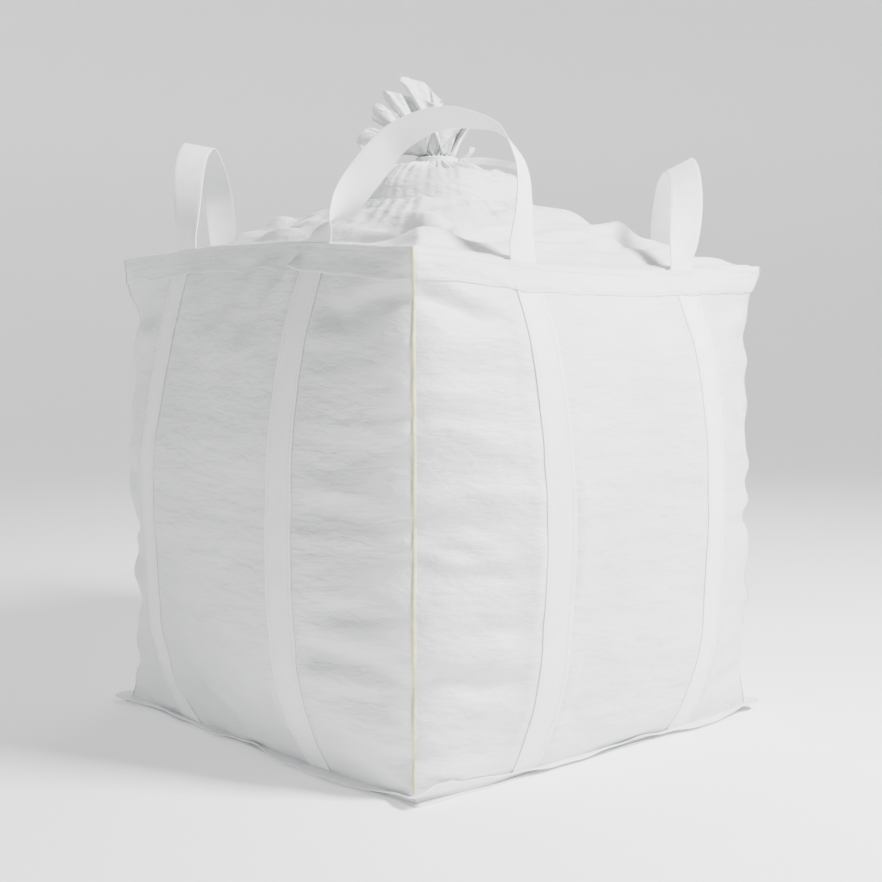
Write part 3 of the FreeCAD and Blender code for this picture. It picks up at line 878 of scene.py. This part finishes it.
TOP_FOLDS = [(-.10, .10, .46, .50, -.012, .030), (.02, .22, .62, .55, -.010, .028),
             (-.26, -.06, .52, .66, .008, .026), (-.44, -.24, .30, .58, .008, .03),
             (-.32, -.12, .72, .80, -.008, .03), (.20, .42, .42, .50, -.007, .03),
             (-.14, .10, .22, .26, .007, .03), (-.70, -.50, .40, .55, .008, .03),
             (.52, .74, .36, .48, .007, .03), (1.0, 1.3, .4, .52, -.008, .03),
             (1.7, 1.95, .44, .50, -.008, .03), (-1.4, -1.1, .42, .5, .008, .03)]


def top_height(w):
    """Height above the rim at share w from rim to spout, with ridges, pleats and folds."""
    rise = np.interp(w, RISE_AT, RISE)[:, None] + 0 * top_s
    rim_part = (rim_line[:, 2] - (0.9 - 0.006))[None, :] * (1 - smoothstep(w / 0.35))[:, None]
    ridge = 0.007 * diagonal[None, :] * np.sin(math.pi * np.clip(w, 0, 1))[:, None]
    pleats = (0.0012 * pleat_wave + 0.0004 * pleat_fine)[None, :] * smoothstep((w - 0.25) / 0.7)[:, None]
    loose = 0.0050 * top_fold * (np.sin(math.pi * w) ** 0.7)[:, None]
    high = 0.9 + rise + rim_part + ridge + pleats + loose
    near = (top_s + GIRTH / 2) % GIRTH - GIRTH / 2
    for s0, s1, w0, w1, deep, wide in TOP_FOLDS:
        t = (near - s0) / (s1 - s0)
        taper = smoothstep((t + 0.1) / 0.3) * smoothstep((1.1 - t) / 0.3)
        line = w0 + (w1 - w0) * t
        high = high + deep * taper[None, :] * np.exp(-0.5 * ((w[:, None] - line[None, :]) / wide) ** 2)
    return high


seam_blend = smoothstep((top_share - 0.9) / 0.1)[:, None]
top_z = top_height(top_share) * (1 - seam_blend) + SPOUT_Z * seam_blend
top_z[0] = rim_line[:, 2] + 0.004
ring_share = top_share[:, None, None]
top_xy = top_rim[None] * (1 - ring_share) + (SPOUT_RADIUS * spout_way)[None] * ring_share
ripple = (0.0005 * pleat_wave)[None, :, None] * smoothstep((top_share - 0.5) / 0.4)[:, None, None]
top_xy = top_xy + ripple * spout_way[None]
top_points = np.concatenate([top_xy, top_z[..., None]], -1)
top = surface("top_panel_cloth", top_points,
              uv_grid(np.append(top_s, GIRTH), top_share * 0.42), wrap=True)
wall(top, 0.0008)
finish_as(top, "top", "top_cloth", "bag", "top_panel")

# %% [markdown]
# ## Fill spout and its neck
# The spout is a tube of lighter cloth sewn round the hole.  It is gathered in to the tie, so it
# forms a steep shoulder with deep pleats that all run into the neck.

# %% Fill spout
SPOUT_RZ = np.array([[.1865, 1.006], [.1850, 1.010], [.1800, 1.030], [.1720, 1.050], [.1580, 1.066],
                     [.1300, 1.075], [.0950, 1.083], [.0620, 1.091], [.0440, 1.0985], [.0375, 1.104],
                     [.0365, 1.1115]])
spout_line = spread(SPOUT_RZ, 74)
spout_angle = np.arange(480) / 480 * 2 * math.pi
gather = smoothstep((0.172 - spout_line[:, 0]) / 0.12)[:, None]
shoulder = np.sin(math.pi * np.linspace(0, 1, 74)) ** 0.8
big_pleat = rough_field(4, 480, 8, 30, 51)[0]
fine_pleat = rough_field(4, 480, 8, 11, 52)[0]
near_tie = smoothstep((0.060 - spout_line[:, 0]) / 0.02)[:, None]
radius = spout_line[:, :1] * (1 + 0.020 * (1 - near_tie) * gather * big_pleat[None]
                              + 0.014 * (0.10 + gather) * (1 - 0.5 * near_tie) * fine_pleat[None])
drape = rough_field(74, 480, 30, 210, 53)
spout_high = spout_line[:, 1:] + shoulder[:, None] * (
    0.0018 * big_pleat[None] + 0.0005 * fine_pleat[None] + 0.0050 * drape)
# All 1.16 m of cloth has to go into the neck, so the pleats deepen where the ring gets small.
neck_pull = smoothstep((0.135 - spout_line[:, :1]) / 0.045) * (1 - 0.55 * near_tie)
spout_high = spout_high + 0.0038 * neck_pull * np.sin(26 * spout_angle + 1.3 * big_pleat)[None]
spout_points = np.stack([radius * np.cos(spout_angle), radius * np.sin(spout_angle), spout_high], -1)
spout_points[0, :, 2] = SPOUT_Z - 0.003
spout = surface("fill_spout_cloth", spout_points,
                uv_grid(np.arange(481) / 480 * 1.16, run_length(spout_line)), wrap=True)
wall(spout, 0.0007)
finish_as(spout, "spout", "spout_cloth", "bag", "fill_spout")


def torus_points(radius, high, wide, tall, turns=240, round_count=14, wave=None):
    """A band round the axis: an oval of half sizes wide and tall carried round a circle."""
    a = np.arange(turns) / turns * 2 * math.pi
    b = np.arange(round_count + 1) / round_count * 2 * math.pi
    shape = np.sign(np.cos(b)) * np.abs(np.cos(b)) ** 0.6, np.sign(np.sin(b)) * np.abs(np.sin(b)) ** 0.6
    r = radius + wide * shape[0][:, None] + (0 if wave is None else wave[None, :])
    z = high + tall * shape[1][:, None] + 0 * a
    return np.stack([r * np.cos(a), r * np.sin(a), z], -1), b


# %% Spout seam, tie and tails
seam_wave = 0.0012 * rough_field(4, 240, 8, 14, 61)[0]
seam_ring, seam_round = torus_points(0.1885, SPOUT_Z + 0.001, 0.0032, 0.0068, wave=seam_wave)
seam = surface("spout_seam_tape", seam_ring,
               uv_grid(np.arange(241) / 240 * 1.18, seam_round * 0.006), wrap=True)
finish_as(seam, "hem", "seam_cloth", "bag", "spout_seam")

tie_rings = []
for i, (high, slope) in enumerate([(1.0990, .0012), (1.1026, -.0014), (1.1058, .0010)]):
    wrap_ring, wrap_round = torus_points(0.0405, high, 0.0019, 0.0030, 160, 12)
    wrap_ring[..., 2] += slope * np.cos(np.arange(160) / 160 * 2 * math.pi + i)[None, :]
    tie_rings.append(surface("tie_wrap_%d" % i, wrap_ring,
                             uv_grid(np.arange(161) / 160 * 0.26, wrap_round * 0.003), wrap=True))
    finish_as(tie_rings[-1], "tie", "tie_tape", "bag", "spout_tie")

KNOT_WAY = np.array([math.sqrt(0.5), math.sqrt(0.5), 0])
KNOT_SIDE = np.array([-math.sqrt(0.5), math.sqrt(0.5), 0])


def tube_round(line, wide, tall, count=14):
    """An oval tube along a line, closed by shrinking its end rings; wide lies level."""
    ahead = unit(np.gradient(line, axis=0))
    level = unit(np.cross(ahead, [0, 0, 1.0]) + 1e-6)
    upright = np.cross(level, ahead)
    b = np.arange(count) / count * 2 * math.pi
    ends = np.sqrt(np.clip(1 - np.linspace(-1, 1, len(line)) ** 8, 0.0004, 1))[:, None, None]
    points = (line[:, None] + ends * (wide * np.cos(b)[None, :, None] * level[:, None]
              + tall * np.sin(b)[None, :, None] * upright[:, None]))
    return points


knot_centre = KNOT_WAY * 0.0505 + np.array([0, 0, 1.1025])
knot_turn = np.linspace(0, 2 * math.pi * 0.93, 40)
for i, (tilt, size) in enumerate([(0.5, 0.0062), (-0.7, 0.0058)]):
    ring_line = knot_centre + size * (np.cos(knot_turn)[:, None] * unit(KNOT_SIDE + tilt * np.array([0, 0, 1.0]))
                                      + np.sin(knot_turn)[:, None] * unit(np.array([0, 0, 1.0]) - tilt * KNOT_SIDE)
                                      ) + KNOT_WAY * (0.0028 * np.sin(2 * knot_turn)[:, None] + 0.003 * i)
    knot_points = tube_round(ring_line, 0.0034, 0.0028)
    knot = surface("tie_knot_turn_%d" % i, np.swapaxes(knot_points, 0, 1)[:, ::1].swapaxes(0, 1),
                   uv_grid(np.arange(15) * 0.001, run_length(ring_line)), wrap=True)
    finish_as(knot, "tie", "tie_tape", "bag", "tie_knot")


def tape(name, line, wide, lean, node, flat):
    """A flat tape along a line; its width is upright, leaning by an angle along the way."""
    ahead = unit(np.gradient(line, axis=0))
    up = unit(np.array([0, 0, 1.0]) - ahead[:, 2:] * ahead)
    side = np.cos(lean)[:, None] * up + np.sin(lean)[:, None] * np.cross(ahead, up)
    widths = np.linspace(-0.5, 0.5, 7) * wide
    points = line[:, None] + side[:, None] * widths[None, :, None]
    piece = surface(name, points, uv_grid(widths, run_length(line)))
    wall(piece, 0.0012, 0)
    finish_as(piece, "tie", "tie_tape", "bag", node)
    return piece


long_line = spread([knot_centre + KNOT_WAY * a + KNOT_SIDE * b + np.array([0, 0, c]) for a, b, c in
                    [(.008, 0, .000), (.028, .001, .001), (.052, .004, .000), (.078, .003, -.004),
                     (.103, .000, -.010), (.112, -.002, -.014)]], 60)
tape("tie_tail_long_tape", long_line, 0.014, np.linspace(0.25, 0.9, 60), "tie_tail_long", (0.105, 0.014))
short_line = spread([knot_centre + KNOT_WAY * a + KNOT_SIDE * b + np.array([0, 0, c]) for a, b, c in
                     [(.004, -.002, .004), (.010, -.006, .010), (.017, -.010, .017), (.020, -.013, .026)]], 24)
tape("tie_tail_short_tape", short_line, 0.012, np.linspace(1.2, 1.5, 24), "tie_tail_short", (0.03, 0.012))

# %% [markdown]
# ## Crown
# Above the tie the end of the spout fans out.  Its edge, more than a metre long, runs in and out
# as a row of lobes: three large ones thrown to the left and a lower bunch on the right.  The
# cloth is a grid between the small pleated ring at the tie and that edge, bent as it rises.

# %% Gathered crown
RIGHT = np.array([math.cos(TURN), math.sin(TURN), 0])
TOWARD = np.array([math.sin(TURN), -math.cos(TURN), 0])
# Tip of each lobe: right, toward the viewer's side, height; half width, droop of its shoulders,
# turn of its width toward upright in degrees, and how far out the valley before it lies.
LOBES = [(.078, .004, 1.190, .036, .006, 0, .96), (.034, .066, 1.186, .046, .004, 0, .96),
         (-.048, .078, 1.160, .048, .004, 0, .96), (-.108, .062, 1.140, .034, .006, 20, .90),
         (-.148, .028, 1.142, .027, .002, 68, .55), (-.130, -.004, 1.194, .022, -.004, 62, .60),
         (-.106, -.030, 1.234, .027, .008, 38, .62), (-.050, -.046, 1.272, .040, .012, 0, .52),
         (.004, -.070, 1.206, .036, .012, 0, .80), (.058, -.044, 1.200, .036, .008, 0, .92)]
edge_points = []
for right, toward, high, half, droop, tilt, inner in LOBES:
    tip = np.array([right, toward])
    around = np.array([-tip[1], tip[0]]) / np.linalg.norm(tip) * -1.0
    level, rise = math.cos(math.radians(tilt)), math.sin(math.radians(tilt))
    before = tip * inner - around * half * 1.05 * level
    edge_points.append([*before, 1.1115 + (high - 1.1115) * (0.55 + 0.3 * inner) - half * rise * 0.9])
    for share, drop, back in ((-1, droop, 0.88), (-0.45, droop * 0.1, 1.0),
                              (0.35, -droop * 0.1, 1.02), (1, droop * 0.8, 0.90)):
        spot = tip * back + around * half * share * level
        edge_points.append([*spot, high - drop + half * share * rise])
edge_points = np.array(edge_points)
closed_edge = np.concatenate([edge_points[-2:], edge_points, edge_points[:3]])
edge_line = spread(closed_edge, 1400)
first = np.argmin(np.linalg.norm(edge_line[:700] - edge_points[0], axis=1))
last = 700 + np.argmin(np.linalg.norm(edge_line[700:] - edge_points[0], axis=1))
edge_line = spread(edge_line[first:last + 1][::6], 601)[:-1]
ruffle_a = rough_field(4, 600, 8, 24, 71)[0]
ruffle_b = rough_field(4, 600, 8, 10, 72)[0]
tie_angle = np.unwrap(np.arctan2(edge_line[:, 1], edge_line[:, 0]))
smooth_angle = np.linspace(tie_angle[0], tie_angle[0] + 2 * math.pi * np.sign(tie_angle[-1] - tie_angle[0]), 601)[:-1]
pleated = 0.033 + 0.0035 * np.sin(smooth_angle * 22) + 0.0015 * ruffle_b
crown_v = np.linspace(0, 1, 44)[:, None, None]
foot_ring = np.stack([pleated * np.cos(smooth_angle), pleated * np.sin(smooth_angle),
                      np.full(600, 1.1122)], -1)
bend = foot_ring * np.array([1.05, 1.05, 1.0]) * 0.46 + edge_line * 0.54
bend[:, 2] = 1.1122 + 0.50 * (edge_line[:, 2] - 1.1122) + 0.012
crown_lines = ((1 - crown_v) ** 2 * foot_ring + 2 * crown_v * (1 - crown_v) * bend + crown_v ** 2 * edge_line)
outward_edge = unit(np.cross(np.roll(edge_line, -2, 0) - np.roll(edge_line, 2, 0), [0, 0, 1.0]))
crown_lines += outward_edge[None] * (0.0045 * ruffle_a + 0.0022 * ruffle_b)[None, :, None] * crown_v
lined = np.sin(smooth_angle * 22)[None, :, None] * 0.0044 * np.sin(math.pi * crown_v) ** 0.7 * outward_edge[None]
crown_lines = crown_lines + lined
crown_points = (crown_lines[..., :1] * RIGHT + crown_lines[..., 1:2] * TOWARD
                + crown_lines[..., 2:] * np.array([0, 0, 1.0]))
# Inside the tie the gathered cloth is pressed shut, so the grid starts at a closed middle.
throat_share = np.array([0.004, 0.2, 0.45, 0.7, 0.88])[:, None, None]
throat = crown_points[:1] * [1, 1, 0] * throat_share + crown_points[:1] * [0, 0, 1]
throat[..., 2] += 0.010 * (1 - throat_share[..., 0] ** 2)
crown_points = np.concatenate([throat, crown_points])
turned_way = np.sign(tie_angle[-1] - tie_angle[0])
crown = surface("spout_crown_cloth", crown_points,
                uv_grid(np.arange(601) / 600 * 1.16, np.linspace(-.02, .16, 49)), wrap=True,
                flip=bool(turned_way > 0))
wall(crown, 0.0007)
finish_as(crown, "spout", "spout_cloth", None, "spout_crown")
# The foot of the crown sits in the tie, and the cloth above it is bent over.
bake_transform(crown)
print("crown edge %.2f m" % np.linalg.norm(edge_line - np.roll(edge_line, 1, 0), axis=1).sum())

# %% [markdown]
# ## Load and baffles
# The load fills the bag and follows its cloth a few millimetres in.  Each baffle is a flat sheet
# between two webbing lines with three round holes, so the load can flow behind it.

# %% Load and baffles
load_rings = [on_cloth(fine_s, np.full(FINE_COLS, z), -0.0075) for z in np.linspace(0.02, 0.88, 60)]
load_rings = [load_rings[0] * np.array([0.002, 0.002, 1.0])] + load_rings
for share in (0.12, 0.3, 0.5, 0.7, 0.9, 0.998):
    heap = load_rings[60] * np.array([1 - share, 1 - share, 1.0])
    heap[:, 2] = 0.885 + 0.075 * smoothstep(share * 1.25)
    load_rings.append(heap)
load_points = np.stack(load_rings)
load = surface("filled_load", load_points,
               uv_grid(np.append(fine_s, GIRTH), np.linspace(0, 1.4, len(load_points))), wrap=True)
finish_as(load, "granules", "contents", "bag", "bulk_contents")
HOLE_AT, HOLE_RADIUS = (0.22 * HEIGHT, 0.50 * HEIGHT, 0.78 * HEIGHT), 0.070
baffle_z = np.linspace(0.018, 0.872, 123)
baffle_t = np.linspace(0, 1, 57)[None, :, None]


def pierced(grid, keep):
    """The faces of a grid whose four corners are all kept."""
    rows, cols = grid.shape[:2]
    r, c = np.meshgrid(np.arange(rows - 1), np.arange(cols - 1), indexing="ij")
    ok = keep[:-1, :-1] & keep[:-1, 1:] & keep[1:, 1:] & keep[1:, :-1]
    quads = np.stack([r * cols + c, r * cols + c + 1, (r + 1) * cols + c + 1, (r + 1) * cols + c], -1)
    return quads[ok]


for k, corner in enumerate(CORNERS):
    edge_a = on_cloth(k * SIDE - WEB_AT, baffle_z, -0.0035)[:, None]
    edge_b = on_cloth(k * SIDE + WEB_AT, baffle_z, -0.0035)[:, None]
    sheet_points = edge_a * (1 - baffle_t) + edge_b * baffle_t
    wide = np.linalg.norm(edge_b - edge_a, axis=-1)
    off = (baffle_t[..., 0] - 0.5) * wide
    keep = np.ones(off.shape, bool)
    for high in HOLE_AT:
        away = np.hypot(off, baffle_z[:, None] - high)
        close = (away > HOLE_RADIUS * 0.90) & (away < HOLE_RADIUS * 1.10)
        pull = np.where(close, HOLE_RADIUS / np.maximum(away, 1e-6), 1.0)
        along_way = unit(edge_b - edge_a)
        sheet_points = sheet_points + along_way * (off * (pull - 1))[..., None]
        sheet_points[..., 2] += (baffle_z[:, None] - high) * (pull - 1)
        keep &= away >= HOLE_RADIUS * 0.90
    quads = pierced(sheet_points, keep)
    used, again = np.unique(quads, return_inverse=True)
    baffle = mesh_object("baffle_cloth_" + corner, sheet_points.reshape(-1, 3)[used],
                         again.reshape(-1, 4))
    wall(baffle, 0.0008, 0)
    finish_as(baffle, "inner", "baffle_cloth", "bag", "corner_baffle_" + corner)

# %% [markdown]
# ## Floor and light
# The bag stands on a pale floor that sweeps up into a pale backdrop.  The key light is large and
# comes from the right, the fill is weaker and from the left, so the left side falls into a soft
# cool grey and every crumple shows its shape.

# %% Stage


def sweep_profile(t):
    """Height of the sweep at distance t: flat, then a quarter circle, then upright."""
    radius, flat = 2.2, 3.2
    angle = np.clip((t - flat) / radius, 0, math.pi / 2)
    rise = np.maximum(t - flat - radius * math.pi / 2, 0)
    return np.minimum(t, flat) + radius * np.sin(angle), radius * (1 - np.cos(angle)) + rise


turn = np.linspace(0, 2 * math.pi, 97)[:-1]
reach, lift = sweep_profile(np.append(np.linspace(0.01, 3.2, 6), np.linspace(3.3, 10.5, 30)))
sweep_points = np.stack([reach[:, None] * np.cos(turn) * 1.6, reach[:, None] * np.sin(turn) * 1.6,
                         np.broadcast_to(lift[:, None] * 1.0, (len(reach), 96))], -1)
sweep_points[..., 2] -= 0.0005
backdrop = surface("backdrop", sweep_points, uv_grid(np.arange(97.0), reach), wrap=True, flip=True)
paper = Nodes("pale_paper")
paper_place = paper.add("ShaderNodeTexCoord")
paper_grain = paper.noise(paper_place.outputs["Object"], 6.0, 2.0)
paper.link(paper.mix(paper.ramp(paper_grain, 0.3, 0.7, 0.0, 1.0), tone(0.93), tone(0.95)),
           paper.shader.inputs["Base Color"])
paper.shader.inputs["Roughness"].default_value = 0.9
paper.shader.inputs["Emission Color"].default_value = (1, 1, 1, 1)
paper.shader.inputs["Emission Strength"].default_value = 0.24
backdrop.data.materials.append(paper.material)


def soft_light(name, place, size, power, colour=(1, 1, 1)):
    """A square area light that faces the middle of the bag."""
    data = bpy.data.lights.new(name, "AREA")
    data.shape, data.size, data.energy, data.color = "SQUARE", size, power, colour
    lamp = bpy.data.objects.new(name, data)
    away = np.array(place) - np.array([0, 0, 0.6])
    lamp.location = place
    lamp.rotation_euler = (math.acos(away[2] / np.linalg.norm(away)), 0,
                           math.atan2(away[0], -away[1]))
    bpy.context.scene.collection.objects.link(lamp)
    return lamp


def place_at(azimuth, distance, height):
    """A place seen from the bag's axis, turned from the camera's own direction."""
    a = TURN + math.radians(azimuth)
    return (math.sin(a) * distance, -math.cos(a) * distance, height)


soft_light("key", place_at(62, 2.9, 3.1), 1.0, 560, (1.0, 0.995, 0.985))
soft_light("fill", place_at(-100, 2.6, 2.8), 0.9, 26, (0.96, 0.98, 1.0))
soft_light("top", place_at(170, 2.6, 3.2), 2.0, 60)
world = bpy.data.worlds.new("studio")
bpy.context.scene.world = world
world.use_nodes = True
world.node_tree.nodes["Background"].inputs["Color"].default_value = (0.95, 0.97, 1.0, 1.0)
world.node_tree.nodes["Background"].inputs["Strength"].default_value = 0.12
